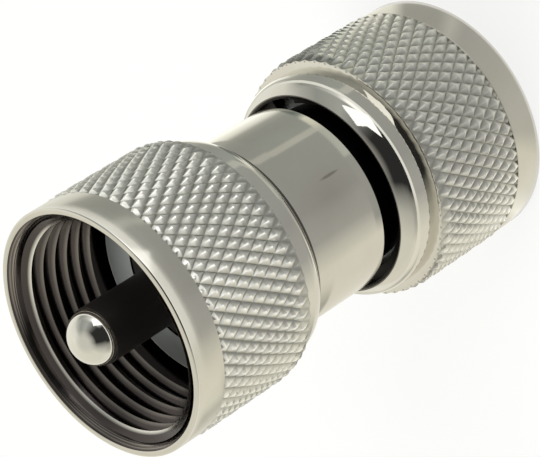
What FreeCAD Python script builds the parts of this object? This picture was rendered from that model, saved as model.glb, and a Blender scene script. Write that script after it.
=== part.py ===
import FreeCAD, Part
import Sketcher
import os

# UHF plug-to-plug adaptor, standing on the mouth of its lower coupling nut.
#
# Z is the common axis and points up. Z = 0 is the plane of the lower nut's mouth, and the
# lower pin's tip is in that plane too. The body and the centre conductor are the same on both
# sides of their middle. The two nuts are the same part: the lower one is slid forward over its
# pin, and the upper one has dropped back until its ring lies on the end of the barrel.

doc = FreeCAD.newDocument("uhf_adaptor")

# ---- sizes, in millimetres unless the name says otherwise --------------------------------

SIZES = [
    # centre conductor: the pin is the 4 mm pin that every UHF socket takes
    ("pin_radius", 2.0),
    ("shank_shoulder", 0.3),
    ("middle_shoulder", 0.4),
    ("middle_length", 6.5),
    # thread of the coupling nuts, 5/8-24: the bore is left at its minor radius
    ("thread_minor_radius", 7.37),
    ("thread_depth", 0.57),
    ("thread_length", 6.5),
    ("thread_entry", 0.26),
    ("relief_length", 2.0),
    # coupling nuts, from the mouth to the rear face
    ("bore_length", 2.71),
    ("nut_rear_wall", 0.93),
    ("nut_band_wall", 0.91),
    ("nut_band_length", 2.4),
    ("nut_mouth_edge", 0.15),
    ("knurl_height", 0.15),
    ("knurl_edge", 0.3),
    ("collar_wall", 0.52),
    ("collar_length", 2.55),
    ("collar_round", 0.47),
    # retaining rings
    ("ring_thickness", 0.8),
    ("ring_width", 1.25),
    ("ring_catch", 0.3),
    ("ring_split_degrees", 18.0),
    # adaptor body
    ("barrel_length", 7.82),
    ("barrel_shoulder", 1.02),
    ("flange_thickness", 1.3),
    ("flange_edge", 0.15),
    ("neck_wall", 1.0),
    ("air_gap", 0.9),
    # insulators
    ("insulator_edge", 0.2),
    # travel of the lower nut from the modelled pose, along its neck
    ("travel_to_barrel", 2.0),
    ("travel_to_flange", 0.24),
    # clearances of the moving fits
    ("thread_clearance", 0.17),
    ("flange_clearance", 0.1),
    ("barrel_clearance", 0.08),
    ("neck_clearance", 0.45),
    ("ring_rim_clearance", 0.05),
    ("ring_side_clearance", 0.03),
]


class Size:
    """A number with the sheet formula it comes from, so sums of sizes keep both."""

    def __init__(self, value, formula):
        self.value = value
        self.formula = formula

    def __add__(self, other):
        return Size(self.value + other.value, f"({self.formula} + {other.formula})")

    def __sub__(self, other):
        return Size(self.value - other.value, f"({self.formula} - {other.formula})")

    def __neg__(self):
        return Size(-self.value, f"(-{self.formula})")

    def times(self, factor):
        return Size(self.value * factor, f"({self.formula} * {factor})")


sheet = doc.addObject("Spreadsheet::Sheet", "Sizes")
size = {}
for row, (name, number) in enumerate(SIZES, start=1):
    sheet.set(f"A{row}", name)
    sheet.set(f"B{row}", str(number))
    sheet.setAlias(f"B{row}", name)
    size[name] = Size(number, f"Sizes.{name}")
doc.recompute()

ZERO = Size(0.0, "0")


# ---- building blocks ---------------------------------------------------------------------

def origin_feature(body, role):
    """One of the body's own origin planes or axes."""
    return next(item for item in body.Origin.OriginFeatures if item.Role == role)


def new_body(label):
    body = doc.addObject("PartDesign::Body", label)
    body.Label = label
    return body


def place_dimension(sketch, kind, line, distance):
    """Hold the start of a line at a distance from the sketch's origin."""
    if distance.formula == "0":
        axis = -2 if kind == "DistanceX" else -1
        sketch.addConstraint(Sketcher.Constraint("PointOnObject", line, 1, axis))
        return
    index = sketch.addConstraint(Sketcher.Constraint(kind, -1, 1, line, 1, distance.value))
    sketch.setExpression(f"Constraints[{index}]", distance.formula)


def half_section(body, name, corners):
    """A closed outline on the XZ plane. Each corner is (radius, height)."""
    sketch = body.newObject("Sketcher::SketchObject", name)
    sketch.AttachmentSupport = [(origin_feature(body, "XZ_Plane"), "")]
    sketch.MapMode = "FlatFace"
    points = [FreeCAD.Vector(radius.value, height.value, 0) for radius, height in corners]
    count = len(points)
    for line in range(count):
        sketch.addGeometry(Part.LineSegment(points[line], points[(line + 1) % count]), False)
    for line in range(count):
        ends = ("Coincident", line, 2, (line + 1) % count, 1)
        sketch.addConstraint(Sketcher.Constraint(*ends))
    for line, (radius, height) in enumerate(corners):
        before = corners[line - 1]
        if line > 0 and before[0].formula == radius.formula:
            sketch.addConstraint(Sketcher.Constraint("Vertical", line - 1))
        else:
            place_dimension(sketch, "DistanceX", line, radius)
        if line > 0 and before[1].formula == height.formula:
            sketch.addConstraint(Sketcher.Constraint("Horizontal", line - 1))
        else:
            place_dimension(sketch, "DistanceY", line, height)
    return sketch


def turn(body, name, corners, open_degrees=None):
    """Revolve a half section about Z, all round or with a gap left open."""
    sketch = half_section(body, name + "_section", corners)
    solid = body.newObject("PartDesign::Revolution", name)
    solid.Profile = sketch
    solid.ReferenceAxis = (sketch, ["V_Axis"])
    solid.Angle = 360
    if open_degrees is not None:
        solid.setExpression("Angle", f"360 - {open_degrees.formula}")
    doc.recompute()
    return solid


def rim(solid, radius, height):
    """The name of the circular edge that has this radius and height in its own body."""
    for number, edge in enumerate(solid.Shape.Edges, start=1):
        curve = edge.Curve
        if not isinstance(curve, Part.Circle):
            continue
        if abs(curve.Radius - radius.value) < 1e-4 and abs(curve.Center.z - height.value) < 1e-4:
            return f"Edge{number}"
    raise ValueError(f"{solid.Name} has no edge of radius {radius.value} at {height.value}")


def bevel(body, name, base, amount, rims):
    """Chamfer the circular edges given as (radius, height)."""
    feature = body.newObject("PartDesign::Chamfer", name)
    feature.Base = (base, [rim(base, radius, height) for radius, height in rims])
    feature.setExpression("Size", amount.formula)
    doc.recompute()
    return feature


def set_upright(body, height):
    body.Placement = FreeCAD.Placement(FreeCAD.Vector(0, 0, height.value), FreeCAD.Rotation())
    body.setExpression("Placement.Base.z", height.formula)


def set_inverted(body, height):
    """Turn the body over, so that its own +Z points down."""
    over = FreeCAD.Rotation(FreeCAD.Vector(1, 0, 0), 180)
    body.Placement = FreeCAD.Placement(FreeCAD.Vector(0, 0, height.value), over)
    body.setExpression("Placement.Base.z", height.formula)


# ---- radii, from the socket's thread inwards and outwards --------------------------------

# The flange passes the nut's thread, and the ring catches behind the bore that passes the flange.
thread_minor = size["thread_minor_radius"]
thread_major = thread_minor + size["thread_depth"]
thread_entry = thread_major + size["thread_entry"]
flange_radius = thread_minor - size["thread_clearance"]
nut_bore = flange_radius + size["flange_clearance"]
ring_outer = nut_bore + size["ring_catch"]
ring_inner = ring_outer - size["ring_width"]
groove_radius = ring_outer + size["ring_rim_clearance"]

neck_radius = ring_inner - size["neck_clearance"]
barrel_radius = neck_radius + size["barrel_shoulder"]
rear_hole = barrel_radius + size["barrel_clearance"]
insulator_radius = neck_radius - size["neck_wall"]
shank_radius = size["pin_radius"] + size["shank_shoulder"]
middle_radius = shank_radius + size["middle_shoulder"]
air_bore = middle_radius + size["air_gap"]

band_radius = thread_major + size["nut_band_wall"]
knurl_radius = band_radius + size["knurl_height"]
collar_radius = groove_radius + size["collar_wall"]

# ---- heights on the common axis ----------------------------------------------------------

# Heights inside a nut, from its mouth. The ring lies in a groove in front of the rear wall.
relief_start = size["thread_length"]
relief_end = relief_start + size["relief_length"]
groove_front = relief_end + size["bore_length"]
ring_front = groove_front + size["ring_side_clearance"]
ring_rear = ring_front + size["ring_thickness"]
groove_rear = ring_rear + size["ring_side_clearance"]
nut_length = groove_rear + size["nut_rear_wall"]
collar_start = nut_length - size["collar_length"]

# Distances from the middle of the body. A neck is as long as the ring and its two travels.
barrel_end = size["barrel_length"].times(0.5)
ring_seat = barrel_end + size["travel_to_barrel"]
neck_end = ring_seat + size["ring_thickness"] + size["travel_to_flange"]
flange_face = neck_end + size["flange_thickness"]
insulator_seat = size["middle_length"].times(0.5)
insulator_length = flange_face - insulator_seat

# The lower pin ends level with the mouth of the lower nut, so the body's middle is as high
# above the floor as the rod's half length.
middle_height = ring_seat + ring_rear

# ---- adaptor body ------------------------------------------------------------------------

# One turned piece: barrel, two necks and two flanges, counterbored from both ends for the
# insulators. Its own Z = 0 is the middle of the barrel.
adaptor_body = new_body("adaptor_body")
outline = [
    (insulator_radius, flange_face),
    (flange_radius, flange_face),
    (flange_radius, neck_end),
    (neck_radius, neck_end),
    (neck_radius, barrel_end),
    (barrel_radius, barrel_end),
    (barrel_radius, -barrel_end),
    (neck_radius, -barrel_end),
    (neck_radius, -neck_end),
    (flange_radius, -neck_end),
    (flange_radius, -flange_face),
    (insulator_radius, -flange_face),
    (insulator_radius, -insulator_seat),
    (air_bore, -insulator_seat),
    (air_bore, insulator_seat),
    (insulator_radius, insulator_seat),
]
turned_body = turn(adaptor_body, "turned_body", outline)
flange_rims = [(flange_radius, flange_face), (flange_radius, -flange_face)]
bevel(adaptor_body, "flange_edges", turned_body, size["flange_edge"], flange_rims)
set_upright(adaptor_body, middle_height)

# ---- centre conductor --------------------------------------------------------------------

# One turned rod with a domed pin at each end. It gets thicker inside the insulators, and its
# middle fills the space between them, so it can't be pushed out. Its own Z = 0 is the middle.
centre_conductor = new_body("centre_conductor")
dome_centre = middle_height - size["pin_radius"]
outline = [
    (ZERO, dome_centre),
    (size["pin_radius"], dome_centre),
    (size["pin_radius"], flange_face),
    (shank_radius, flange_face),
    (shank_radius, insulator_seat),
    (middle_radius, insulator_seat),
    (middle_radius, -insulator_seat),
    (shank_radius, -insulator_seat),
    (shank_radius, -flange_face),
    (size["pin_radius"], -flange_face),
    (size["pin_radius"], -dome_centre),
    (ZERO, -dome_centre),
]
turn(centre_conductor, "turned_rod", outline)
for name, centre in (("upper_dome", dome_centre), ("lower_dome", -dome_centre)):
    dome = centre_conductor.newObject("PartDesign::AdditiveSphere", name)
    dome.AttachmentSupport = [(origin_feature(centre_conductor, "XY_Plane"), "")]
    dome.MapMode = "FlatFace"
    dome.setExpression("Radius", size["pin_radius"].formula)
    dome.setExpression("AttachmentOffset.Base.z", centre.formula)
    doc.recompute()
set_upright(centre_conductor, middle_height)

# ---- insulators --------------------------------------------------------------------------


def make_insulator(label):
    """A bush round the rod. Its own Z = 0 is the inner face and it grows towards the pin."""
    bush = new_body(label)
    outline = [
        (shank_radius, ZERO),
        (insulator_radius, ZERO),
        (insulator_radius, insulator_length),
        (shank_radius, insulator_length),
    ]
    turned = turn(bush, label + "_turned", outline)
    front_rim = [(insulator_radius, insulator_length)]
    bevel(bush, label + "_edge", turned, size["insulator_edge"], front_rim)
    return bush


upper_insulator = make_insulator("upper_insulator")
set_upright(upper_insulator, middle_height + insulator_seat)
lower_insulator = make_insulator("lower_insulator")
set_inverted(lower_insulator, middle_height - insulator_seat)

# ---- retaining rings ---------------------------------------------------------------------


def make_ring(label):
    """A flat split ring. Its own Z = 0 is the face towards the nut's mouth."""
    ring = new_body(label)
    outline = [
        (ring_inner, ZERO),
        (ring_outer, ZERO),
        (ring_outer, size["ring_thickness"]),
        (ring_inner, size["ring_thickness"]),
    ]
    turn(ring, label + "_turned", outline, size["ring_split_degrees"])
    return ring


# The upper ring lies on the barrel's end. The lower one is in its nut, which stands on Z = 0.
upper_ring = make_ring("upper_retaining_ring")
set_inverted(upper_ring, middle_height + barrel_end + size["ring_thickness"])
lower_ring = make_ring("lower_retaining_ring")
set_upright(lower_ring, ring_front)

# ---- coupling nuts -----------------------------------------------------------------------


def make_nut(label):
    """A coupling nut. Its own Z = 0 is the mouth, and it grows towards the barrel.

    Outside it has a plain band, the knurled grip and the collar. Inside it has the thread, a
    relief, a plain bore that passes the flange, the ring's groove and the rear hole that runs
    on the barrel.
    """
    nut = new_body(label)
    # the collar's round is two flats that touch a quarter circle's ends and middle
    quarter_middle = size["collar_round"].times(0.2929)
    outline = [
        (thread_entry, ZERO),
        (band_radius, ZERO),
        (band_radius, size["nut_band_length"]),
        (knurl_radius, size["nut_band_length"]),
        (knurl_radius, collar_start),
        (collar_radius, collar_start),
        (collar_radius, nut_length - size["collar_round"]),
        (collar_radius - quarter_middle, nut_length - quarter_middle),
        (collar_radius - size["collar_round"], nut_length),
        (rear_hole, nut_length),
        (rear_hole, groove_rear),
        (groove_radius, groove_rear),
        (groove_radius, groove_front),
        (nut_bore, groove_front),
        (nut_bore, relief_end),
        (thread_major, relief_end),
        (thread_major, relief_start),
        (thread_minor, relief_start),
        (thread_minor, thread_entry - thread_minor),
    ]
    turned = turn(nut, label + "_turned", outline)
    mouth = bevel(nut, label + "_mouth_edge", turned, size["nut_mouth_edge"], [(band_radius, ZERO)])
    bevel(nut, label + "_knurl_edge", mouth, size["knurl_edge"], [(knurl_radius, collar_start)])
    return nut


upper_nut = make_nut("upper_coupling_nut")
set_inverted(upper_nut, middle_height + barrel_end + ring_rear)
lower_nut = make_nut("lower_coupling_nut")
set_upright(lower_nut, ZERO)

# ---- check and write ---------------------------------------------------------------------

doc.recompute()
pieces = [
    adaptor_body,
    centre_conductor,
    upper_insulator,
    lower_insulator,
    upper_ring,
    lower_ring,
    upper_nut,
    lower_nut,
]
for item in doc.Objects:
    if "Invalid" in item.State or "Error" in item.State:
        raise RuntimeError(f"{item.Name} did not recompute: {item.State}")
for piece in pieces:
    if piece.Shape.isNull() or not piece.Shape.isValid() or len(piece.Shape.Solids) != 1:
        raise RuntimeError(f"{piece.Label} is not one valid solid")

os.makedirs("parts", exist_ok=True)
for piece in pieces:
    piece.Shape.exportStep(f"parts/{piece.Label}.step")
    box = piece.Shape.BoundBox
    print(f"{piece.Label}: z {box.ZMin:.2f} to {box.ZMax:.2f}, volume {piece.Shape.Volume:.1f}")
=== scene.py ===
# %% [markdown]
# # A UHF plug-to-plug adaptor
#
# The real object is a thumb-sized fitting for radio leads. A turned body has a plug at each
# end, and each plug has a knurled coupling nut that slides and spins on the body. Everything
# but the two insulators is plated metal, so most of the work is in clean turned shapes, in
# the knurl, and in what the metal reflects.
#
# The imported model is loaded first and stays as it is. The finished pieces have to stay
# inside it.

import bmesh
import bpy
import math
from mathutils import Matrix, Vector


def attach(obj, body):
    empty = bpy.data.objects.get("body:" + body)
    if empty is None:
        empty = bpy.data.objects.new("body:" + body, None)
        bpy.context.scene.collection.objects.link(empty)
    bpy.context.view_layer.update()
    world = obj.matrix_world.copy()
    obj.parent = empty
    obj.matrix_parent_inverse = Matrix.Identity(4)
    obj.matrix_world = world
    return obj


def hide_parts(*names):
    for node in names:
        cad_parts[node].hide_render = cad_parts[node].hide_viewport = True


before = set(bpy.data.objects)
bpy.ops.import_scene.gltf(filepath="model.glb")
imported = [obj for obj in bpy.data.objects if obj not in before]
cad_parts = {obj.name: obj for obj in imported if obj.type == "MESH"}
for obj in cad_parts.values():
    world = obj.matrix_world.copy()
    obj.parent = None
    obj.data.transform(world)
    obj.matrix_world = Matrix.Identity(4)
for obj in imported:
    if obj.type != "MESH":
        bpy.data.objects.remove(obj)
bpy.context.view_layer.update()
print("nodes:", sorted(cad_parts))

# %% [markdown]
# ## Sizes
#
# The frame is in metres, but a fitting this small is easier to think about in millimetres.
# So each mesh is built in millimetres round the Z axis, and scaled down once at the end.
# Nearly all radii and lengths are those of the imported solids, so that what is seen fits the
# frame. The shoulders beside each neck stand 0.02 mm further apart, so that a retaining ring
# doesn't meet them flush at the end of its travel, and the knurl is cut here only. Heights on
# the body are counted from its middle, and those of a nut from its mouth.

# %% Sizes in millimetres
PIN_RADIUS = 2.0
SHANK_RADIUS = 2.3
ROD_RADIUS = 2.7
BODY_HOLE = 3.6
INSULATOR_RADIUS = 4.9
NECK_RADIUS = 5.9
BARREL_RADIUS = 6.92
FLANGE_RADIUS = 7.2
BUSH_START = 3.25
BARREL_END = 3.89
FLANGE_START = 6.97
BODY_END = 8.25

NUT_LENGTH = 13.0
THREAD_END = 8.5
GROOVE_START = 11.21
GROOVE_END = 12.07
THREAD_MINOR = 7.37
THREAD_MAJOR = 7.94
THREAD_ENTRY = 8.45
NUT_BORE = 7.3
GROOVE_RADIUS = 7.65
REAR_HOLE = 7.0
BAND_RADIUS = 8.85
KNURL_RADIUS = 9.0
KNURL_DEPTH = 0.30
COLLAR_RADIUS = 8.17

HEIGHT = 35.9
MIDDLE = HEIGHT / 2
UPPER_MOUTH = 33.9
print(f"height {HEIGHT} mm, widest {2 * KNURL_RADIUS} mm, middle of the body at {MIDDLE} mm")

# %% [markdown]
# ## A lathe
#
# Nearly every piece comes off a lathe. In bmesh that is a spin: an outline of a few corners
# is drawn on the XZ plane and swept once round Z. The spin merges its last ring with its
# first, so there is no seam. A doubles pass closes the poles, and the normals are worked out
# again, because the direction of an outline decides which way its faces point.


# %% Lathe helpers
def draw_outline(corners, closed):
    """A bmesh with one outline of (radius, height) corners on the XZ plane."""
    shape = bmesh.new()
    points = [shape.verts.new((radius, 0, height)) for radius, height in corners]
    for first, second in zip(points, points[1:]):
        shape.edges.new((first, second))
    if closed:
        shape.edges.new((points[-1], points[0]))
    return shape


def spin_round(shape, steps):
    """Sweep all that is drawn so far once round Z."""
    drawn = shape.verts[:] + shape.edges[:]
    bmesh.ops.spin(
        shape,
        geom=drawn,
        cent=(0, 0, 0),
        axis=(0, 0, 1),
        angle=math.tau,
        steps=steps,
        use_merge=True,
    )
    bmesh.ops.remove_doubles(shape, verts=shape.verts[:], dist=1e-4)
    bmesh.ops.recalc_face_normals(shape, faces=shape.faces[:])


def turned(corners, steps=256):
    """A turned solid from the corners of its outline."""
    shape = draw_outline(corners, closed=True)
    spin_round(shape, steps)
    return shape


# %% [markdown]
# A lathe tool never leaves a perfectly sharp edge, and plating rounds it a little more. Those
# thin rounds are what catches the light, so each rim gets a bevel. A rim is found by its
# radius and height, the way a turner would point at it.


# %% Rounded rims
def ease_rim(shape, radius, height, width, segments=3):
    """Round the circular edge at this radius and height."""
    edges = []
    for edge in shape.edges:
        ends = [(math.hypot(v.co.x, v.co.y), v.co.z) for v in edge.verts]
        if all(abs(r - radius) < 1e-3 and abs(z - height) < 1e-3 for r, z in ends):
            edges.append(edge)
    bmesh.ops.bevel(
        shape,
        geom=edges,
        offset=width,
        offset_type="OFFSET",
        affect="EDGES",
        segments=segments,
        profile=0.5,
        material=-1,
        clamp_overlap=True,
    )


# %% [markdown]
# A finished shape becomes an object with its place in its mesh. Faces are shaded smooth, and
# an edge stays sharp where two faces meet at more than 30 degrees.


# %% From shape to object
def make_piece(name, shape, materials=(), sharp_degrees=30):
    """Scale a shape to metres and turn it into an object."""
    bmesh.ops.scale(shape, vec=(0.001, 0.001, 0.001), verts=shape.verts[:])
    mesh = bpy.data.meshes.new(name)
    shape.to_mesh(mesh)
    shape.free()
    mesh.set_sharp_from_angle(angle=math.radians(sharp_degrees))
    piece = bpy.data.objects.new(name, mesh)
    bpy.context.scene.collection.objects.link(piece)
    for material in materials:
        mesh.materials.append(material)
    print(f"{name}: {len(mesh.polygons)} faces")
    return piece


# %% [markdown]
# ## Finishes
#
# All the metal is nickel plate, a warm pale grey that goes slightly yellow in its reflections.
# What differs is how smooth it is. The barrel and the bands keep fine turning marks, the
# collars are polished, and the bores, necks and rear rims are painted dark as shade.
#
# Two node groups hold what the finishes share. The first gives turning marks: noise that
# varies quickly along the axis and outwards, and very slowly round it, like the path of the
# tool. The second gives soft smudges from handling.


# %% Node helpers
def add_node(tree, kind, **values):
    """A node with some of its settings or plain input values."""
    node = tree.nodes.new(kind)
    for key, value in values.items():
        if key in node.inputs:
            node.inputs[key].default_value = value
        else:
            setattr(node, key, value)
    return node


def combine(tree, operation, first, second=None):
    """A Math node on sockets or plain numbers."""
    node = add_node(tree, "ShaderNodeMath", operation=operation)
    for place, value in enumerate((first, second)):
        if isinstance(value, bpy.types.NodeSocket):
            tree.links.new(value, node.inputs[place])
        elif value is not None:
            node.inputs[place].default_value = value
    return node.outputs[0]


def new_group(name, outputs):
    """A node group that reads a position in metres."""
    group = bpy.data.node_groups.new(name, "ShaderNodeTree")
    group.interface.new_socket(name="Position", in_out="INPUT", socket_type="NodeSocketVector")
    for output in outputs:
        group.interface.new_socket(name=output, in_out="OUTPUT", socket_type="NodeSocketFloat")
    return group, group.nodes.new("NodeGroupInput"), group.nodes.new("NodeGroupOutput")


# %% Turning marks
def make_turning_marks():
    """Noise along a tool's path. It also puts out the radius and the height in mm."""
    group, start, end = new_group("turning_marks", ["Radius", "Height", "Marks"])
    join = group.links.new
    millimetres = add_node(group, "ShaderNodeVectorMath", operation="SCALE", Scale=1000.0)
    join(start.outputs["Position"], millimetres.inputs[0])
    parts = add_node(group, "ShaderNodeSeparateXYZ")
    join(millimetres.outputs[0], parts.inputs[0])
    flat = add_node(group, "ShaderNodeCombineXYZ")
    join(parts.outputs["X"], flat.inputs["X"])
    join(parts.outputs["Y"], flat.inputs["Y"])
    radius = add_node(group, "ShaderNodeVectorMath", operation="LENGTH")
    join(flat.outputs[0], radius.inputs[0])
    around = combine(group, "ARCTAN2", parts.outputs["Y"], parts.outputs["X"])
    slow = combine(group, "MULTIPLY", combine(group, "SINE", around), 0.02)
    path = add_node(group, "ShaderNodeCombineXYZ")
    join(radius.outputs["Value"], path.inputs["X"])
    join(slow, path.inputs["Y"])
    join(parts.outputs["Z"], path.inputs["Z"])
    marks = add_node(group, "ShaderNodeTexNoise", Scale=9.0, Detail=4.0, Roughness=0.7)
    join(path.outputs[0], marks.inputs["Vector"])
    join(radius.outputs["Value"], end.inputs["Radius"])
    join(parts.outputs["Z"], end.inputs["Height"])
    join(marks.outputs["Fac"], end.inputs["Marks"])
    return group


turning_marks = make_turning_marks()
print("group:", turning_marks.name, [item.name for item in turning_marks.interface.items_tree])


# %% Smudges
def make_smudges():
    """Wide soft clouds and fine specks."""
    group, start, end = new_group("smudges", ["Cloud", "Specks"])
    join = group.links.new
    cloud = add_node(group, "ShaderNodeTexNoise", Scale=260.0, Detail=3.0, Roughness=0.5)
    join(start.outputs["Position"], cloud.inputs["Vector"])
    specks = add_node(group, "ShaderNodeTexNoise", Scale=2600.0, Detail=2.0, Roughness=0.6)
    join(start.outputs["Position"], specks.inputs["Vector"])
    join(cloud.outputs["Fac"], end.inputs["Cloud"])
    join(specks.outputs["Fac"], end.inputs["Specks"])
    return group


smudges = make_smudges()
print("group:", smudges.name)


# %% [markdown]
# A plated finish is one recipe with different numbers: two tones of nickel mixed by the
# smudges, a roughness that wanders between two values, and a bump from the turning marks.


# %% The plated metal recipe
def place_groups(tree):
    """The object position and both groups in a material."""
    spot = add_node(tree, "ShaderNodeTexCoord")
    marks = add_node(tree, "ShaderNodeGroup", node_tree=turning_marks)
    cloud = add_node(tree, "ShaderNodeGroup", node_tree=smudges)
    tree.links.new(spot.outputs["Object"], marks.inputs["Position"])
    tree.links.new(spot.outputs["Object"], cloud.inputs["Position"])
    return marks, cloud


def spread(tree, source, low, high, to_low, to_high):
    """Map a value from one range to another, clamped."""
    node = add_node(tree, "ShaderNodeMapRange")
    node.inputs["From Min"].default_value = low
    node.inputs["From Max"].default_value = high
    node.inputs["To Min"].default_value = to_low
    node.inputs["To Max"].default_value = to_high
    tree.links.new(source, node.inputs["Value"])
    return node.outputs["Result"]


def blend_colours(tree, factor, first, second):
    """Mix two colours, or a colour and a socket, by a factor socket."""
    node = add_node(tree, "ShaderNodeMix", data_type="RGBA")
    tree.links.new(factor, node.inputs["Factor"])
    for socket, colour in ((node.inputs[6], first), (node.inputs[7], second)):
        if isinstance(colour, tuple):
            socket.default_value = (*colour, 1.0)
        else:
            tree.links.new(colour, socket)
    return node.outputs[2]


def new_material(name, metallic):
    """A material with its tree and its Principled BSDF."""
    material = bpy.data.materials.new(name)
    material.use_nodes = True
    tree = material.node_tree
    surface = tree.nodes["Principled BSDF"]
    surface.inputs["Metallic"].default_value = metallic
    return material, tree, surface


def plated(name, bright, dull, rough_low, rough_high, mark_depth, metallic=1.0):
    """Nickel plate with smudges, uneven polish and turning marks."""
    material, tree, surface = new_material(name, metallic)
    marks, cloud = place_groups(tree)
    tone = spread(tree, cloud.outputs["Cloud"], 0.35, 0.65, 0.0, 1.0)
    colour = blend_colours(tree, tone, bright, dull)
    tree.links.new(colour, surface.inputs["Base Color"])
    polish = spread(tree, marks.outputs["Marks"], 0.3, 0.7, rough_low, rough_high)
    tree.links.new(polish, surface.inputs["Roughness"])
    bump = add_node(tree, "ShaderNodeBump", Strength=0.5, Distance=mark_depth)
    tree.links.new(marks.outputs["Marks"], bump.inputs["Height"])
    tree.links.new(bump.outputs["Normal"], surface.inputs["Normal"])
    return material


# %% The metal finishes
WARM_NICKEL = (0.70, 0.685, 0.62)
satin_nickel = plated("satin_nickel", WARM_NICKEL, (0.66, 0.64, 0.57), 0.12, 0.20, 3e-6)
polished_nickel = plated(
    "polished_nickel", (0.74, 0.73, 0.67), (0.72, 0.70, 0.64), 0.03, 0.08, 1e-6
)
spring_steel = plated("spring_steel", (0.05, 0.048, 0.046), (0.03, 0.029, 0.028), 0.4, 0.5, 3e-6)
# rim_grey and dark_recess are painted shade: they darken rear rims, necks and recesses.
rim_grey = plated("rim_grey", (0.20, 0.19, 0.175), (0.13, 0.125, 0.115), 0.25, 0.4, 2e-6)
dark_recess = plated("dark_recess", (0.012, 0.011, 0.011), (0.02, 0.018, 0.017), 0.35, 0.5, 2e-6)
metals = (satin_nickel, polished_nickel, spring_steel, rim_grey, dark_recess)
print("finishes:", [metal.name for metal in metals])

# %% [markdown]
# The knurl is the brightest part: its metal is the palest, and its colour follows the distance
# from the axis, darkening towards the bottom of its grooves as painted shade.


# %% Knurled nickel
def make_knurled_nickel():
    """Bright pyramids with painted shade in their grooves."""
    material, tree, surface = new_material("knurled_nickel", 1.0)
    marks, cloud = place_groups(tree)
    tone = spread(tree, cloud.outputs["Specks"], 0.35, 0.65, 0.0, 1.0)
    plate = blend_colours(tree, tone, (1.0, 0.99, 0.94), (0.93, 0.92, 0.87))
    root, tip = KNURL_RADIUS - KNURL_DEPTH, KNURL_RADIUS - 0.06
    # Grey towards the groove bottoms: painted shade.
    groove_shade_fade = spread(tree, marks.outputs["Radius"], root, tip, 0.0, 1.0)
    colour = blend_colours(tree, groove_shade_fade, (0.45, 0.45, 0.41), plate)
    tree.links.new(colour, surface.inputs["Base Color"])
    polish = spread(tree, cloud.outputs["Specks"], 0.3, 0.7, 0.14, 0.26)
    tree.links.new(polish, surface.inputs["Roughness"])
    return material


knurled_nickel = make_knurled_nickel()
print("knurl finish:", knurled_nickel.name)

# %% [markdown]
# Inside a nut the metal is painted nearly black as shade, with paler thread crests, so that
# the roots carry painted shade. Crests and roots are told apart by their radius. The first
# crest of the upper nut is painted as a bright highlight, and the wide entry at the mouth gets
# paler streaks as painted highlights.


# %% Dark bore
def make_dark_bore():
    """Painted shade in the thread roots, paler crests, and painted highlight streaks on the
    entry.
    """
    material, tree, surface = new_material("dark_bore", 1.0)
    marks, cloud = place_groups(tree)
    radius, height = marks.outputs["Radius"], marks.outputs["Height"]
    # Crests pale, roots dark: painted shade in the roots.
    crest = spread(tree, radius, THREAD_MINOR, THREAD_MINOR + 0.22, 1.0, 0.0)
    # The first crest of the upper nut: a painted highlight.
    first = spread(tree, height, UPPER_MOUTH - 1.7, UPPER_MOUTH - 1.4, 0.0, 1.0)
    crest_highlight = blend_colours(tree, first, (0.24, 0.22, 0.20), (0.90, 0.88, 0.82))
    # Pale streaks on the entry: painted highlights.
    entry = spread(tree, radius, THREAD_MAJOR + 0.04, THREAD_MAJOR + 0.08, 0.0, 1.0)
    streak = spread(tree, marks.outputs["Marks"], 0.48, 0.56, 0.0, 1.0)
    entry_highlights = combine(tree, "MULTIPLY", entry, streak)
    deep = blend_colours(tree, entry_highlights, (0.085, 0.074, 0.072), (0.34, 0.31, 0.28))
    colour = blend_colours(tree, crest, deep, crest_highlight)
    tree.links.new(colour, surface.inputs["Base Color"])
    polish = spread(tree, cloud.outputs["Specks"], 0.3, 0.7, 0.14, 0.22)
    tree.links.new(polish, surface.inputs["Roughness"])
    return material


dark_bore = make_dark_bore()

# %% [markdown]
# The flange at the bottom of each mouth is a dull grey with a paler edge that is a painted
# highlight, and the pin is bright only on its dome. Below the dome its shaft is painted as dark
# as the bore round it, a painted reflection of the bore.


# %% Flange and pin finishes
flange_grey = plated("flange_grey", (0.42, 0.44, 0.43), (0.38, 0.40, 0.39), 0.45, 0.55, 2e-6, 0.2)
# The pale edge finish is a painted highlight on the flange rims.
pale_edge_highlight = plated("pale_edge_highlight", (0.80, 0.80, 0.76), (0.74, 0.74, 0.70), 0.35, 0.45, 1e-6, 0.2)


def make_pin_plate():
    """Bright domes on a rod painted dark as a reflection of the bore."""
    material, tree, surface = new_material("pin_plate", 1.0)
    marks = place_groups(tree)[0]
    height = marks.outputs["Height"]
    # Below the dome the rod is painted dark: a painted reflection of the dark bore.
    above = spread(tree, height, UPPER_MOUTH + 0.12, UPPER_MOUTH + 0.30, 0.0, 1.0)
    below = spread(tree, height, PIN_RADIUS - 0.30, PIN_RADIUS - 0.12, 1.0, 0.0)
    dome = combine(tree, "MAXIMUM", above, below)
    colour = blend_colours(tree, dome, (0.11, 0.10, 0.098), (0.78, 0.77, 0.71))
    tree.links.new(colour, surface.inputs["Base Color"])
    polish = spread(tree, dome, 0.0, 1.0, 0.5, 0.07)
    tree.links.new(polish, surface.inputs["Roughness"])
    return material


pin_plate = make_pin_plate()

# %% [markdown]
# The insulators are a black moulded plastic. Only their front faces show, deep in the mouths.


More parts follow.
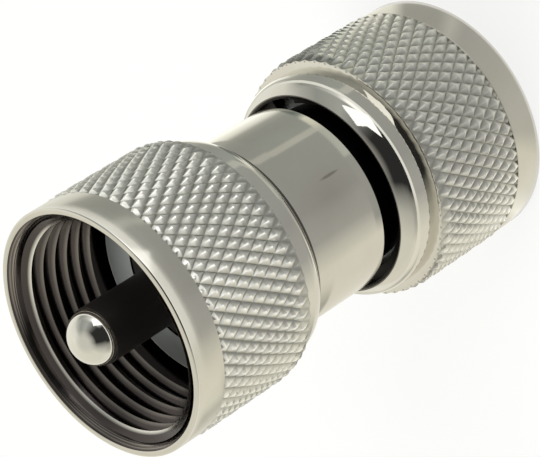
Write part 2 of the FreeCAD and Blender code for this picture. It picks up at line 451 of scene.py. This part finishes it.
# %% Black plastic
def make_black_insulator():
    """Dull black plastic with a fine grain."""
    material, tree, surface = new_material("black_insulator", 0.0)
    grain = place_groups(tree)[1].outputs["Specks"]
    tone = spread(tree, grain, 0.3, 0.7, 0.0, 1.0)
    colour = blend_colours(tree, tone, (0.018, 0.017, 0.017), (0.03, 0.028, 0.027))
    tree.links.new(colour, surface.inputs["Base Color"])
    surface.inputs["Roughness"].default_value = 0.5
    bump = add_node(tree, "ShaderNodeBump", Strength=0.3, Distance=1e-5)
    tree.links.new(grain, bump.inputs["Height"])
    tree.links.new(bump.outputs["Normal"], surface.inputs["Normal"])
    return material


black_insulator = make_black_insulator()
print("dark finishes:", dark_bore.name, flange_grey.name, pin_plate.name, black_insulator.name)

# %% [markdown]
# ## The body
#
# One bar of brass, turned to a barrel with a neck and a flange at each end, and plated. The
# barrel is glossier than the nuts. It has a faint brown stain, and a short scratch where a
# tool slipped. Both are soft spots round a place on its surface.


# %% Barrel finish
STAIN_PLACE = (-0.4, -6.9, 17.6)
STAIN_STRENGTH = 0.28
SCRATCH_PLACE = (0.7, -6.9, 16.7)
SCRATCH_STRENGTH = 0.6
SCRATCH_STRETCH = (4.5, 1, 0.6)


def near_place(tree, position, place, stretch, low, high):
    """1 near a place in mm, 0 away from it. stretch squeezes X, Y and Z before measuring."""
    move = add_node(tree, "ShaderNodeMapping")
    move.inputs["Scale"].default_value = [1000 * s for s in stretch]
    move.inputs["Location"].default_value = [-p * s for p, s in zip(place, stretch)]
    tree.links.new(position, move.inputs["Vector"])
    far = add_node(tree, "ShaderNodeVectorMath", operation="LENGTH")
    tree.links.new(move.outputs[0], far.inputs[0])
    return spread(tree, far.outputs["Value"], low, high, 1.0, 0.0)


def make_barrel_nickel():
    """Glossy plate with a stain and a scratch."""
    material = plated("barrel_nickel", WARM_NICKEL, (0.67, 0.65, 0.585), 0.05, 0.09, 1e-6)
    tree = material.node_tree
    surface = tree.nodes["Principled BSDF"]
    plate = surface.inputs["Base Color"].links[0].from_socket
    position = add_node(tree, "ShaderNodeTexCoord").outputs["Object"]
    near_stain = near_place(tree, position, STAIN_PLACE, (1, 1, 1), 0.3, 2.4)
    stain = combine(tree, "MULTIPLY", near_stain, STAIN_STRENGTH)
    stained = blend_colours(tree, stain, plate, (0.52, 0.46, 0.40))
    near_scratch = near_place(tree, position, SCRATCH_PLACE, SCRATCH_STRETCH, 0.3, 0.6)
    scratch = combine(tree, "MULTIPLY", near_scratch, SCRATCH_STRENGTH)
    marked = blend_colours(tree, scratch, stained, (0.24, 0.22, 0.19))
    tree.links.new(marked, surface.inputs["Base Color"])
    return material


barrel_nickel = make_barrel_nickel()
print("barrel finish:", barrel_nickel.name)

# %% [markdown]
# The outline is drawn for the upper half only and mirrored by reading it backwards, so both
# ends are the same. The ends of the barrel get a small round, and the flanges a wider one.
# The necks stand in a deep shadow, which is painted on them as the darkest finish.

# %% Adaptor body
BODY_FINISHES = {"barrel": 0, "flange": 1, "recess": 2, "edge": 3}

upper_half = [
    (BARREL_RADIUS, BARREL_END),
    (NECK_RADIUS, BARREL_END),
    (NECK_RADIUS, FLANGE_START),
    (FLANGE_RADIUS, FLANGE_START),
    (FLANGE_RADIUS, BODY_END),
    (INSULATOR_RADIUS, BODY_END),
    (INSULATOR_RADIUS, BUSH_START),
    (BODY_HOLE, BUSH_START),
]
lower_half = [(radius, -height) for radius, height in reversed(upper_half)]
body_shape = turned([(r, MIDDLE + z) for r, z in upper_half + lower_half])
for side in (1, -1):
    ease_rim(body_shape, BARREL_RADIUS, MIDDLE + side * BARREL_END, 0.12)
    ease_rim(body_shape, FLANGE_RADIUS, MIDDLE + side * BODY_END, 0.15)
    ease_rim(body_shape, FLANGE_RADIUS, MIDDLE + side * FLANGE_START, 0.08)
body_shape.normal_update()
# Eased flange rims get a painted highlight, and the necks and barrel ends get painted shade.
for face in body_shape.faces:
    away = abs(face.calc_center_median().z - MIDDLE)
    eased = 0.1 < abs(face.normal.z) < 0.99
    if away > FLANGE_START - 0.07:
        face.material_index = BODY_FINISHES["edge" if eased else "flange"]
    elif away > BARREL_END - 0.04 and not eased:
        face.material_index = BODY_FINISHES["recess"]
body_metals = [barrel_nickel, flange_grey, dark_recess, pale_edge_highlight]
adaptor_body = make_piece("adaptor_body_turned", body_shape, body_metals)
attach(adaptor_body, "adaptor")
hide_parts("adaptor_body")

# %% [markdown]
# ## The centre conductor
#
# A rod with a domed pin at each end. The dome is a quarter circle: one point at the tip is
# spun round the dome's centre, on the same plane as the outline, before the whole outline is
# spun round Z. That gives even rings from the tip down.


# %% Centre conductor
def draw_pin(shape, centre, side):
    """A quarter circle from the tip of a pin down to its shaft. Returns its lower end."""
    tip = shape.verts.new((0, 0, centre + side * PIN_RADIUS))
    made = bmesh.ops.spin(
        shape, geom=[tip], cent=(0, 0, centre), axis=(0, side, 0), angle=math.pi / 2, steps=20
    )
    return next(item for item in made["geom_last"] if isinstance(item, bmesh.types.BMVert))


rod_shape = bmesh.new()
upper_shaft = draw_pin(rod_shape, UPPER_MOUTH, 1)
lower_shaft = draw_pin(rod_shape, PIN_RADIUS, -1)
upper_corners = [
    (PIN_RADIUS, BODY_END),
    (SHANK_RADIUS, BODY_END),
    (SHANK_RADIUS, BUSH_START),
    (ROD_RADIUS, BUSH_START),
]
lower_corners = [(radius, -height) for radius, height in reversed(upper_corners)]
last = upper_shaft
for radius, height in upper_corners + lower_corners:
    corner = rod_shape.verts.new((radius, 0, MIDDLE + height))
    rod_shape.edges.new((last, corner))
    last = corner
rod_shape.edges.new((last, lower_shaft))
spin_round(rod_shape, 128)
centre_conductor = make_piece("centre_conductor_turned", rod_shape, [pin_plate])
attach(centre_conductor, "adaptor")
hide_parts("centre_conductor")


# %% [markdown]
# ## The insulators
#
# A plastic bush fills each end of the body. Its front face is level with the flange and has
# a shallow moulded groove round the rod, and only that face is ever seen.


# %% Insulators
def make_insulator(name, node, side):
    """A bush at one end of the body."""
    front, groove, edge = BODY_END, BODY_END - 0.15, 0.2
    corners = [
        (SHANK_RADIUS, BUSH_START),
        (INSULATOR_RADIUS, BUSH_START),
        (INSULATOR_RADIUS, front - edge),
        (INSULATOR_RADIUS - edge, front),
        (3.6, front),
        (3.4, groove),
        (2.9, groove),
        (2.7, front),
        (SHANK_RADIUS, front),
    ]
    shape = turned([(r, MIDDLE + side * z) for r, z in corners], steps=128)
    bush = make_piece(name, shape, [black_insulator])
    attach(bush, "adaptor")
    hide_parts(node)


make_insulator("upper_insulator_moulded", "upper_insulator", side=1)
make_insulator("lower_insulator_moulded", "lower_insulator", side=-1)

# %% [markdown]
# ## The coupling nuts
#
# Both nuts are the same part, so one function makes a nut that stands on its mouth, and the
# upper one is turned over and lifted. The shell is turned. Its collar closes in a cone, whose
# first edge is eased most, because the highlight of the whole nut runs along it. The other
# rims get a thin bevel.


# %% Nut shell
KNURL_START = 2.4
KNURL_END = 10.45
KNURL_ROOT = KNURL_RADIUS - KNURL_DEPTH
SLEEVE_BORE = 8.1
SHELL_UNDER_KNURL = SLEEVE_BORE + 0.2
COLLAR_START = KNURL_END - 0.4
CONE_START = 12.0
REAR_EDGE = 7.3
REAR_BORE = REAR_HOLE + 0.08

NUT_FINISHES = {"satin": 0, "polished": 1, "bore": 2, "knurl": 3, "rim": 4, "recess": 5}


def turn_nut_shell(rim_reach):
    """The nut without knurl and thread. The painted shade of the rear rim reaches out to
    rim_reach.
    """
    shape = turned(
        [
            (THREAD_ENTRY, 0),
            (BAND_RADIUS, 0),
            (BAND_RADIUS, KNURL_START),
            (SHELL_UNDER_KNURL, KNURL_START),
            (SHELL_UNDER_KNURL, COLLAR_START),
            (COLLAR_RADIUS, COLLAR_START),
            (COLLAR_RADIUS, CONE_START),
            (REAR_EDGE, NUT_LENGTH),
            (REAR_BORE, NUT_LENGTH - 0.12),
            (REAR_BORE, GROOVE_END),
            (GROOVE_RADIUS, GROOVE_END),
            (GROOVE_RADIUS, GROOVE_START),
            (NUT_BORE, GROOVE_START),
            (NUT_BORE, THREAD_END),
            (THREAD_MAJOR, THREAD_END),
            (THREAD_MAJOR, THREAD_ENTRY - THREAD_MAJOR),
        ]
    )
    ease_rim(shape, COLLAR_RADIUS, CONE_START, 0.5, segments=10)
    ease_rim(shape, REAR_EDGE, NUT_LENGTH, 0.07)
    ease_rim(shape, BAND_RADIUS, 0, 0.15, segments=4)
    ease_rim(shape, THREAD_ENTRY, 0, 0.05)
    ease_rim(shape, BAND_RADIUS, KNURL_START, 0.03)
    for face in shape.faces:
        centre = face.calc_center_median()
        radius = math.hypot(centre.x, centre.y)
        if centre.z > COLLAR_START and radius > rim_reach:
            face.material_index = NUT_FINISHES["polished"]
        # The rear rim and the recess behind the thread are painted dark as shade.
        elif centre.z > NUT_LENGTH - 0.9 and radius > REAR_HOLE + 0.1:
            face.material_index = NUT_FINISHES["rim"]
        elif centre.z > GROOVE_START - 0.1:
            face.material_index = NUT_FINISHES["recess"]
        elif centre.z < 0.16 and radius > BAND_RADIUS - 0.16:
            face.material_index = NUT_FINISHES["polished"]
        elif radius < THREAD_ENTRY - 0.1:
            face.material_index = NUT_FINISHES["bore"]
    return shape


# %% [markdown]
# ### The knurl
#
# Two rollers press crossed grooves into the metal, which leaves rows of small pyramids, each
# row shifted by half a pyramid. A grid at half the pitch already has that pattern: going up
# and round, points are tips and groove crossings in turn, like the squares of a chessboard.
# So a straight line is cut into half pitches and spun in half steps, every second point is
# pulled out to a tip, and connecting the others across each square draws the grooves. The
# tips are then flattened with a vertex bevel, because a roller never fills them. Beside the
# collar the last pyramids are turned down to a slope.


# %% Knurl
PYRAMIDS_ROUND = 57
PYRAMID_LENGTH = 1.53
FIRST_ROW = 0.4
TIP_FLAT = 0.13
END_SLOPE = 0.3


def roll_knurl():
    """The knurled surface. It starts FIRST_ROW mm before the band, to be cut to length."""
    half_steps = 2 * PYRAMIDS_ROUND
    half_pitch = PYRAMID_LENGTH / 2
    rows = math.ceil((KNURL_END - KNURL_START + FIRST_ROW) / half_pitch)
    low = KNURL_START - FIRST_ROW
    high = low + rows * half_pitch
    shape = draw_outline([(KNURL_ROOT, low), (KNURL_ROOT, high)], closed=False)
    bmesh.ops.subdivide_edges(shape, edges=shape.edges[:], cuts=rows - 1)
    spin_round(shape, half_steps)
    tips, crossings = [], []
    for point in shape.verts:
        column = round(math.atan2(point.co.y, point.co.x) / math.tau * half_steps)
        row = round((point.co.z - low) / half_pitch)
        (tips if (column + row) % 2 == 0 else crossings).append(point)
    for point in tips:
        point.co.xy *= KNURL_RADIUS / KNURL_ROOT
    bmesh.ops.connect_verts(shape, verts=crossings)
    bmesh.ops.bevel(
        shape,
        geom=[tip for tip in tips if not tip.is_boundary],
        offset=TIP_FLAT,
        offset_type="OFFSET",
        affect="VERTICES",
        segments=1,
        profile=0.5,
        material=-1,
    )
    return shape


def trim_knurl(shape):
    """Cut the band to its length and slope its end by the collar."""
    for height, below, above in (
        (KNURL_START, True, False),
        (KNURL_END, False, True),
        (KNURL_END - END_SLOPE, False, False),
    ):
        bmesh.ops.bisect_plane(
            shape,
            geom=shape.verts[:] + shape.edges[:] + shape.faces[:],
            dist=1e-4,
            plane_co=(0, 0, height),
            plane_no=(0, 0, 1),
            clear_inner=below,
            clear_outer=above,
        )
    for point in shape.verts:
        reach = point.co.xy.length
        if point.co.z > KNURL_END - 1e-3:
            reach = KNURL_ROOT - 0.07
        elif point.co.z > KNURL_END - END_SLOPE - 1e-3:
            reach = min(reach, KNURL_ROOT + 0.08)
        else:
            continue
        point.co.xy = point.co.xy.normalized() * reach


def close_knurl(shape):
    """Give the knurled band end faces and an inner wall, so that it is a closed sleeve."""
    ends = [edge for edge in shape.edges if edge.is_boundary]
    made = bmesh.ops.extrude_edge_only(shape, edges=ends)
    inner = [item for item in made["geom"] if isinstance(item, bmesh.types.BMVert)]
    for point in inner:
        point.co.xy = point.co.xy.normalized() * SLEEVE_BORE
    loops = [item for item in made["geom"] if isinstance(item, bmesh.types.BMEdge)]
    bmesh.ops.bridge_loops(shape, edges=[edge for edge in loops if edge.is_boundary])
    bmesh.ops.recalc_face_normals(shape, faces=shape.faces[:])


def make_knurl():
    """A closed knurled sleeve with its finishes."""
    shape = roll_knurl()
    trim_knurl(shape)
    close_knurl(shape)
    for face in shape.faces:
        step = face.normal.z > 0.9
        face.material_index = NUT_FINISHES["polished" if step else "knurl"]
    return shape


# %% [markdown]
# ### The thread
#
# The nut's thread is 24 turns to the inch. It is a real helix: a small blunt ridge is drawn
# once and spun for six turns while it moves up the axis. Its first and last steps sink into
# the wall, as a thread that runs out does. In the upper nut it starts on the camera's side,
# where the wall hides it.


# %% Thread
THREAD_PITCH = 25.4 / 24
THREAD_TURNS = 6
THREAD_STEPS = 120
THREAD_START = 0.55


def cut_thread():
    """A helical ridge whose roots lie just inside the wall."""
    crest, shoulder, root = THREAD_MINOR, THREAD_MINOR + 0.04, THREAD_MAJOR + 0.06
    ridge = [(root, -0.44), (shoulder, -0.05), (crest, 0.0), (shoulder, 0.05), (root, 0.44)]
    shape = draw_outline([(radius, THREAD_START + z) for radius, z in ridge], closed=True)
    drawn = shape.verts[:] + shape.edges[:]
    bmesh.ops.spin(
        shape,
        geom=drawn,
        cent=(0, 0, 0),
        axis=(0, 0, 1),
        dvec=(0, 0, THREAD_PITCH / THREAD_STEPS),
        angle=math.tau * THREAD_TURNS,
        steps=THREAD_STEPS * THREAD_TURNS,
    )
    ends = [edge for edge in shape.edges if edge.is_boundary]
    bmesh.ops.holes_fill(shape, edges=ends, sides=8)
    for point in shape.verts:
        climbed = (point.co.z - THREAD_START) / THREAD_PITCH
        fade_in, fade_out = climbed + 0.4, THREAD_TURNS + 0.4 - climbed
        fade = min(1.0, max(0.0, fade_in) * 3, max(0.0, fade_out) * 3)
        radius = math.hypot(point.co.x, point.co.y)
        point.co.xy *= (root + (radius - root) * fade) / radius
    bmesh.ops.recalc_face_normals(shape, faces=shape.faces[:])
    turn = Matrix.Rotation(math.pi / 2, 3, "Z")
    bmesh.ops.rotate(shape, verts=shape.verts[:], cent=(0, 0, 0), matrix=turn)
    for face in shape.faces:
        face.material_index = NUT_FINISHES["bore"]
    return shape


# %% [markdown]
# The shell, the knurled sleeve and the thread are put together in one mesh per nut. The
# upper nut is the same mesh turned half round the X axis and moved up. Only the painted shade
# on the rear rim differs: the upper nut's turns away from the camera and is painted the darkest,
# and the lower nut's is painted as a thin grey line.


# %% Assemble the nuts
def add_shape(target, source):
    """Copy one bmesh into another."""
    carrier = bpy.data.meshes.new("carrier")
    source.to_mesh(carrier)
    source.free()
    target.from_mesh(carrier)
    bpy.data.meshes.remove(carrier)


def make_nut(name, node, body, rim_shade, rim_reach, upside_down):
    """A coupling nut. The upper one is turned over, with its mouth at the top."""
    shape = turn_nut_shell(rim_reach)
    add_shape(shape, make_knurl())
    add_shape(shape, cut_thread())
    if upside_down:
        turn = Matrix.Rotation(math.pi, 3, "X")
        bmesh.ops.rotate(shape, verts=shape.verts[:], cent=(0, 0, 0), matrix=turn)
        bmesh.ops.translate(shape, verts=shape.verts[:], vec=(0, 0, UPPER_MOUTH))
    metals = [satin_nickel, polished_nickel, dark_bore, knurled_nickel, rim_shade, dark_recess]
    nut = make_piece(name, shape, metals, sharp_degrees=58)
    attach(nut, body)
    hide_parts(node)


# The rear rim is painted shade: darkest on the upper nut, grey on the lower.
make_nut(
    "upper_nut_knurled",
    "upper_coupling_nut",
    "upper_nut",
    dark_recess,
    rim_reach=7.75,
    upside_down=True,
)
make_nut(
    "lower_nut_knurled",
    "lower_coupling_nut",
    "lower_nut",
    rim_grey,
    rim_reach=7.42,
    upside_down=False,
)

# %% [markdown]
# ## The retaining rings
#
# The split rings sit in the grooves of the nuts and are hidden there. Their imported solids
# have the right shape, so they stay and only get the spring steel.

# %% Ring finish
for ring in ("upper_retaining_ring", "lower_retaining_ring"):
    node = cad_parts[ring]
    node.data.materials.clear()
    node.data.materials.append(spring_steel)
print("rings dressed")

# %% [markdown]
# ## The studio
#
# Polished metal shows its surroundings, so the studio is part of the look. The floor is
# white to the camera and keeps a faint shadow: it mixes a glow, for rays that look at it,
# with plain paper.

# %% Floor
floor_material = bpy.data.materials.new("studio_floor")
floor_material.use_nodes = True
floor_tree = floor_material.node_tree
floor_tree.nodes.clear()
paper = add_node(floor_tree, "ShaderNodeBsdfDiffuse", Color=(0.9, 0.9, 0.88, 1.0))
glow = add_node(floor_tree, "ShaderNodeEmission")
path = add_node(floor_tree, "ShaderNodeLightPath")
seen = combine(
    floor_tree, "MAXIMUM", path.outputs["Is Camera Ray"], path.outputs["Is Glossy Ray"]
)
seen = combine(floor_tree, "MAXIMUM", seen, path.outputs["Is Transmission Ray"])
mix = add_node(floor_tree, "ShaderNodeMixShader")
floor_tree.links.new(combine(floor_tree, "MULTIPLY", seen, 0.75), mix.inputs[0])
floor_tree.links.new(paper.outputs[0], mix.inputs[1])
floor_tree.links.new(glow.outputs[0], mix.inputs[2])
floor_out = add_node(floor_tree, "ShaderNodeOutputMaterial")
floor_tree.links.new(mix.outputs[0], floor_out.inputs["Surface"])

floor_shape = bmesh.new()
bmesh.ops.create_circle(floor_shape, cap_ends=True, radius=1500, segments=96)
floor = make_piece("studio_floor", floor_shape, [floor_material])

# %% [markdown]
# A photographer shapes what metal reflects with cards. An upright wall seen from above
# mirrors the floor round its foot: the lower it is, the nearer. So ring-shaped graded cards
# lie on the floor, one inside the other. Five are for the parts of the object that mirror
# them, from the lower nut's foot to the upper nut's grip, and the sixth is for the rest. The
# camera doesn't see them and they cast no shadow. They are dark towards the camera, warm and
# pale on the left, and bright behind on the right. A tone is given by its angle round Z,
# counted from the X axis.

# %% Card helpers
CREAM = (0.88, 0.85, 0.75)
GREY = (0.41, 0.41, 0.39)
CARD_HEIGHT = 0.02


def glowing(name, strength=1.0):
    """A material that only glows, for cards."""
    material = bpy.data.materials.new(name)
    material.use_nodes = True
    tree = material.node_tree
    tree.nodes.clear()
    glow = add_node(tree, "ShaderNodeEmission", Strength=strength, Color=(1.0, 1.0, 1.0, 1.0))
    out = add_node(tree, "ShaderNodeOutputMaterial")
    tree.links.new(glow.outputs[0], out.inputs["Surface"])
    return material, tree, glow


def hide_card(card):
    """Only polished surfaces see a card."""
    card.visible_camera = False
    card.visible_diffuse = False
    card.visible_shadow = False
    card.visible_transmission = False


def tone_fan(tree, source, tones):
    """A colour that changes round Z. tones: (degrees, colour) in order, from 0."""
    turn = add_node(tree, "ShaderNodeMapping")
    turn.inputs["Rotation"].default_value = (0, 0, math.pi)
    fan = add_node(tree, "ShaderNodeTexGradient", gradient_type="RADIAL")
    ramp = add_node(tree, "ShaderNodeValToRGB")
    tree.links.new(source, turn.inputs["Vector"])
    tree.links.new(turn.outputs[0], fan.inputs[0])
    tree.links.new(fan.outputs["Fac"], ramp.inputs["Fac"])
    first, last = ramp.color_ramp.elements
    first.position, last.position = 0.0, 1.0
    first.color = last.color = (*tones[0][1], 1.0)
    for degrees, colour in tones[1:]:
        ramp.color_ramp.elements.new(degrees / 360).color = (*colour, 1.0)
    return ramp.outputs["Color"]


def lay_card(name, inner, outer, tones):
    """A ring on the floor. Each edge is a radius and a shift towards the camera."""
    material, tree, glow = glowing(name)
    spot = add_node(tree, "ShaderNodeTexCoord")
    tree.links.new(tone_fan(tree, spot.outputs["Object"], tones), glow.inputs["Color"])
    shape = draw_outline([(inner[0], CARD_HEIGHT), (outer[0], CARD_HEIGHT)], closed=False)
    spin_round(shape, 128)
    half_way = (inner[0] + outer[0]) / 2
    inside = [point for point in shape.verts if point.co.xy.length < half_way]
    outside = [point for point in shape.verts if point.co.xy.length > half_way]
    bmesh.ops.translate(shape, verts=inside, vec=(0, -inner[1], 0))
    bmesh.ops.translate(shape, verts=outside, vec=(0, -outer[1], 0))
    hide_card(make_piece(name, shape, [material]))


# %% Cards on the floor
DARK_FRONT = [
    (198, CREAM),
    (217, (0.65, 0.64, 0.58)),
    (229, (0.47, 0.46, 0.44)),
    (250, (0.43, 0.43, 0.41)),
    (262, (0.385, 0.385, 0.37)),
]

lay_card(
    "foot_card",
    (9.05, 0),
    (13.5, 0),
    [
        (0, (1.05, 1.04, 0.95)),
        (25, (1.05, 1.04, 0.95)),
        (40, (1.20, 1.20, 1.10)),
        (80, CREAM),
        (180, CREAM),
        (190, (1.20, 1.18, 1.10)),
        (206, (0.95, 0.93, 0.84)),
        (228, CREAM),
        (240, (0.62, 0.61, 0.56)),
        (300, (0.48, 0.48, 0.46)),
        (308, (0.60, 0.60, 0.56)),
        (316, (0.45, 0.45, 0.42)),
        (338, (0.45, 0.45, 0.42)),
        (347, (0.95, 0.94, 0.85)),
    ],
)
lay_card(
    "collar_card",
    (13.5, 0),
    (18.8, 0),
    [
        (0, (0.30, 0.32, 0.29)),
        (7, (0.18, 0.21, 0.19)),
        (14, (0.18, 0.21, 0.19)),
        (20, (0.22, 0.22, 0.21)),
        (48, (0.15, 0.15, 0.14)),
        (58, CREAM),
        (200, CREAM),
        (218, GREY),
        (286, GREY),
        (289, (0.58, 0.59, 0.54)),
        (326, (0.58, 0.59, 0.54)),
        (338, (0.80, 0.79, 0.67)),
        (350, (0.88, 0.88, 0.77)),
    ],
)
lay_card(
    "barrel_card",
    (18.8, 0),
    (33.4, 2.2),
    [
        (0, (0.36, 0.37, 0.35)),
        (10, (0.37, 0.38, 0.35)),
        (20, (0.46, 0.46, 0.42)),
        (30, (0.95, 0.95, 0.86)),
        (44, (1.20, 1.20, 1.10)),
        (58, (1.25, 1.25, 1.15)),
        (70, CREAM),
        *DARK_FRONT,
        (326, (0.40, 0.41, 0.39)),
        (327.5, (0.58, 0.58, 0.53)),
        (334, (0.57, 0.57, 0.51)),
        (335.5, (0.40, 0.42, 0.39)),
    ],
)
lay_card(
    "upper_collar_card",
    (33.4, 2.2),
    (42.0, 2.2),
    [
        (0, (0.37, 0.38, 0.36)),
        (14, (0.40, 0.41, 0.38)),
        (24, (0.49, 0.49, 0.45)),
        (44, (0.52, 0.52, 0.47)),
        (60, (0.70, 0.69, 0.62)),
        (80, (0.80, 0.78, 0.69)),
        (125, (0.72, 0.70, 0.62)),
        (140, (0.56, 0.55, 0.49)),
        (155, (0.52, 0.51, 0.45)),
        (175, (0.80, 0.78, 0.68)),
        (185, CREAM),
        *DARK_FRONT,
        (327, (0.40, 0.41, 0.39)),
        (328.5, (0.57, 0.57, 0.53)),
        (335.5, (0.55, 0.56, 0.51)),
        (338, (0.39, 0.40, 0.38)),
    ],
)
lay_card(
    "grip_card",
    (42.0, 2.2),
    (64.0, 2.2),
    [
        (0, (0.37, 0.38, 0.36)),
        (10, (0.38, 0.39, 0.36)),
        (24, (0.44, 0.44, 0.41)),
        (36, (0.84, 0.84, 0.76)),
        (60, (0.90, 0.90, 0.82)),
        (125, (0.80, 0.78, 0.69)),
        (148, (0.60, 0.59, 0.52)),
        (162, (0.88, 0.87, 0.76)),
        (180, (0.95, 0.92, 0.81)),
        *DARK_FRONT,
        (329, (0.40, 0.41, 0.39)),
        (331, (0.56, 0.56, 0.53)),
        (338, (0.54, 0.55, 0.51)),
        (344, (0.38, 0.39, 0.37)),
    ],
)
lay_card(
    "far_card",
    (64.0, 2.2),
    (900.0, 0),
    [
        (0, (0.95, 0.95, 0.90)),
        (190, (0.95, 0.92, 0.82)),
        (215, (0.86, 0.84, 0.76)),
        (230, (1.00, 0.99, 0.94)),
        (282, (1.00, 1.00, 0.96)),
        (290, (1.05, 1.05, 1.02)),
        (340, (1.05, 1.05, 1.02)),
    ],
)

# %% [markdown]
# One more card stands upright on the camera's right. It is white, faces the object and leans
# sideways. It makes the highlight on the cone of the lower collar and the streak on the dome
# of the pin. It stands clear of the floor, because the upright walls of the upper nut would
# mirror anything lower.

# %% Standing card
CARD_PLACE = Vector((26.5, -38.5, 31))
CARD_AIM = Vector((0, 0, 31))
CARD_WIDTH, CARD_LENGTH = 22, 40
CARD_LEAN = math.radians(35)

card_shape = bmesh.new()
bmesh.ops.create_grid(card_shape, x_segments=1, y_segments=1, size=0.5)
bmesh.ops.scale(card_shape, vec=(CARD_WIDTH, CARD_LENGTH, 1), verts=card_shape.verts[:])
facing = (CARD_AIM - CARD_PLACE).to_track_quat("Z", "Y").to_matrix()
turn = facing @ Matrix.Rotation(CARD_LEAN, 3, "Z")
bmesh.ops.rotate(card_shape, verts=card_shape.verts[:], cent=(0, 0, 0), matrix=turn)
bmesh.ops.translate(card_shape, verts=card_shape.verts[:], vec=CARD_PLACE)
hide_card(make_piece("white_card", card_shape, [glowing("white_card", strength=1.5)[0]]))

# %% [markdown]
# The world is what a photographer's table has round it: a warm pale wall on the left, a dim
# one behind on the right, and the dark shape of the camera in front. So its tone changes round
# Z like the cards, once near the horizon and once above it, and it clears towards the top.

# %% World
world = bpy.data.worlds.new("studio_world")
bpy.context.scene.world = world
world.use_nodes = True
world_tree = world.node_tree
world_tree.nodes.clear()
direction = add_node(world_tree, "ShaderNodeTexCoord")
parts = add_node(world_tree, "ShaderNodeSeparateXYZ")
world_tree.links.new(direction.outputs["Generated"], parts.inputs[0])
low_tones = tone_fan(
    world_tree,
    direction.outputs["Generated"],
    [
        (0, (0.42, 0.43, 0.41)),
        (15, (0.35, 0.36, 0.34)),
        (30, (0.85, 0.84, 0.76)),
        (50, (0.98, 0.97, 0.90)),
        (90, (0.88, 0.85, 0.75)),
        (180, (0.86, 0.83, 0.73)),
        (198, (0.52, 0.51, 0.46)),
        (218, (0.34, 0.33, 0.30)),
        (230, (0.03, 0.03, 0.03)),
        (284, (0.03, 0.03, 0.03)),
        (294, (0.40, 0.40, 0.40)),
        (300, (1.40, 1.40, 1.38)),
        (325, (1.40, 1.40, 1.38)),
        (338, (0.75, 0.75, 0.72)),
    ],
)
high_tones = tone_fan(
    world_tree,
    direction.outputs["Generated"],
    [
        (0, (0.36, 0.37, 0.35)),
        (15, (0.52, 0.52, 0.49)),
        (32, (0.85, 0.84, 0.78)),
        (60, (0.95, 0.93, 0.85)),
        (110, (0.85, 0.82, 0.73)),
        (180, (0.80, 0.78, 0.69)),
        (205, (0.55, 0.54, 0.49)),
        (222, (0.28, 0.28, 0.26)),
        (236, (0.03, 0.03, 0.03)),
        (290, (0.03, 0.03, 0.03)),
        (302, (0.12, 0.12, 0.12)),
        (318, (0.30, 0.30, 0.29)),
        (335, (0.45, 0.46, 0.44)),
    ],
)
CEILING = (0.68, 0.67, 0.61)
lift = spread(world_tree, parts.outputs["Z"], 0.15, 0.30, 0.0, 1.0)
walls = blend_colours(world_tree, lift, low_tones, high_tones)
clear = spread(world_tree, parts.outputs["Z"], 0.74, 0.96, 0.0, 1.0)
sky_tone = blend_colours(world_tree, clear, walls, CEILING)
sky = add_node(world_tree, "ShaderNodeBackground")
world_tree.links.new(sky_tone, sky.inputs["Color"])
world_out = add_node(world_tree, "ShaderNodeOutputWorld")
world_tree.links.new(sky.outputs[0], world_out.inputs["Surface"])
print("world:", world.name)

# %% [markdown]
# Two soft lamps light what is dull, such as the floor and the black plastic. The metal
# doesn't mirror them, because the cards do that work.


# %% Lamps
def add_lamp(name, position, aim, width, power):
    """A square soft lamp that points at a place on the object."""
    light = bpy.data.lights.new(name, "AREA")
    light.size = width
    light.energy = power
    lamp = bpy.data.objects.new(name, light)
    bpy.context.scene.collection.objects.link(lamp)
    lamp.location = position
    lamp.visible_glossy = False
    look = Vector(aim) - lamp.location
    lamp.rotation_euler = look.to_track_quat("-Z", "Y").to_euler()


OBJECT_MIDDLE = (0, 0, 0.018)
add_lamp("key_lamp", (0.25, -0.30, 0.45), OBJECT_MIDDLE, width=0.30, power=1.2)
add_lamp("top_lamp", (-0.20, 0.25, 0.60), OBJECT_MIDDLE, width=0.40, power=2.0)

# %% [markdown]
# ## The camera
#
# The camera's place, turn and lens come from fitting circles of the object to the photograph.
# It looks down past the upper nut, and is rolled so that the object lies across the picture.

# %% Camera
camera_data = bpy.data.cameras.new("camera")
camera_data.sensor_width = 36.0
camera_data.lens = 186.592
camera_data.clip_start = 0.01
camera_data.clip_end = 10.0
camera = bpy.data.objects.new("camera", camera_data)
bpy.context.scene.collection.objects.link(camera)
camera.location = (0.0, -0.150004, 0.129057)
camera.rotation_euler = [math.radians(a) for a in (-35.917, 42.698, -136.815)]
bpy.context.scene.camera = camera
bpy.context.scene.view_settings.view_transform = "Standard"
print(f"camera: {camera_data.lens:.1f} mm lens, {camera.location.length:.3f} m from the origin")
